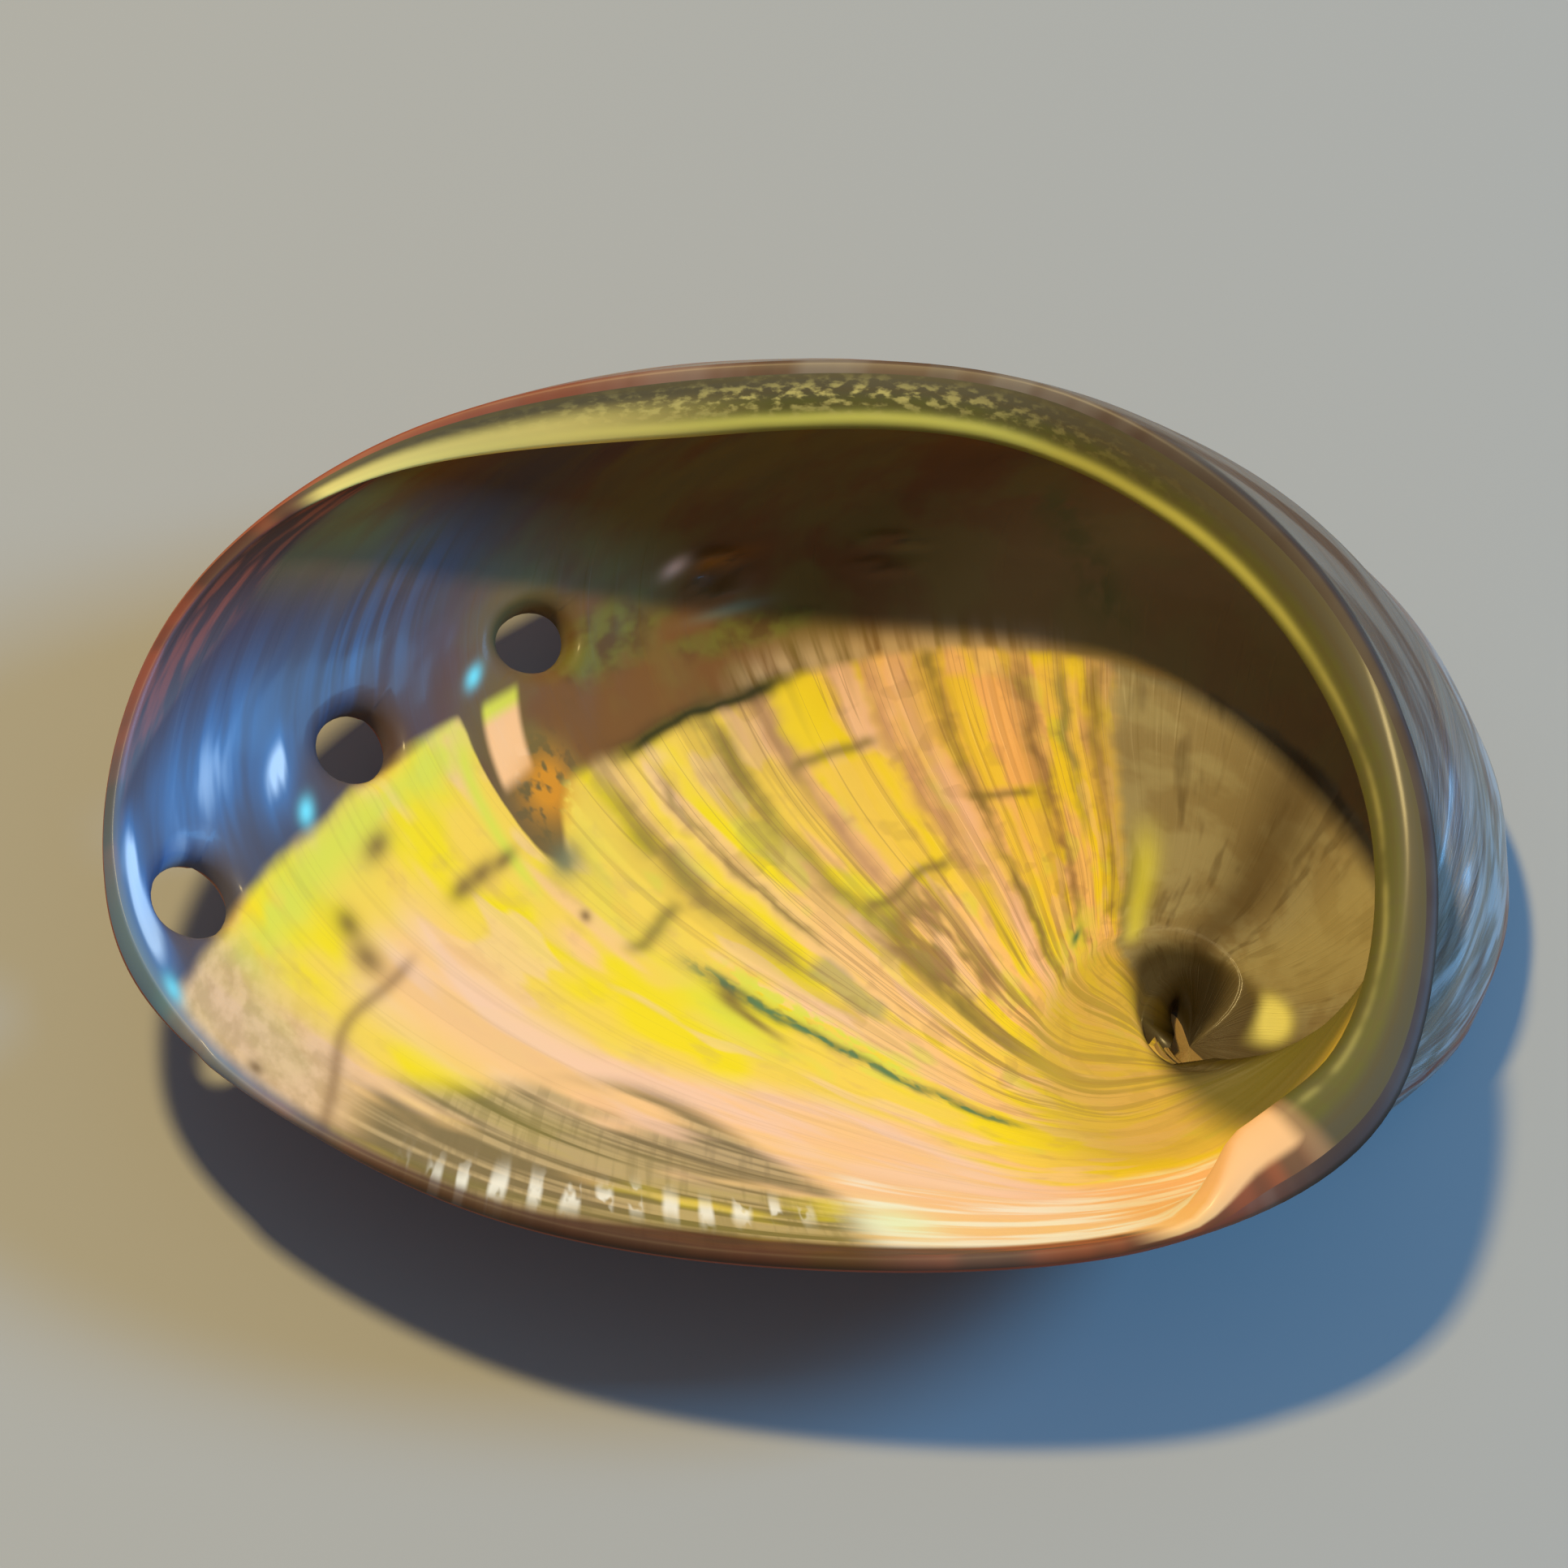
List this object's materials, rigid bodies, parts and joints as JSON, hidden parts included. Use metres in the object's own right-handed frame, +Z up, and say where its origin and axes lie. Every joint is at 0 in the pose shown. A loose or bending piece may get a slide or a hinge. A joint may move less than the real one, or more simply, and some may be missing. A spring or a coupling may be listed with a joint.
{
  "type": "abalone shell",
  "caption": "Small natural abalone shell: a shallow ear-shaped bowl of nacre with a row of three open holes, a flat inner shelf and a low spire.",
  "frame": {"origin": "centre of the bounding box, at the ground that the shell's round back lies on", "axes": "+Z up, out of the hollow; +X from the front end to the spire; +Y towards the columellar shelf"},
  "size_m": [0.0704, 0.0528, 0.017],
  "materials": {
    "shell": "gloss"
  },
  "bodies": {
    "root": {"shell": "shell"}
  },
  "joints": []
}
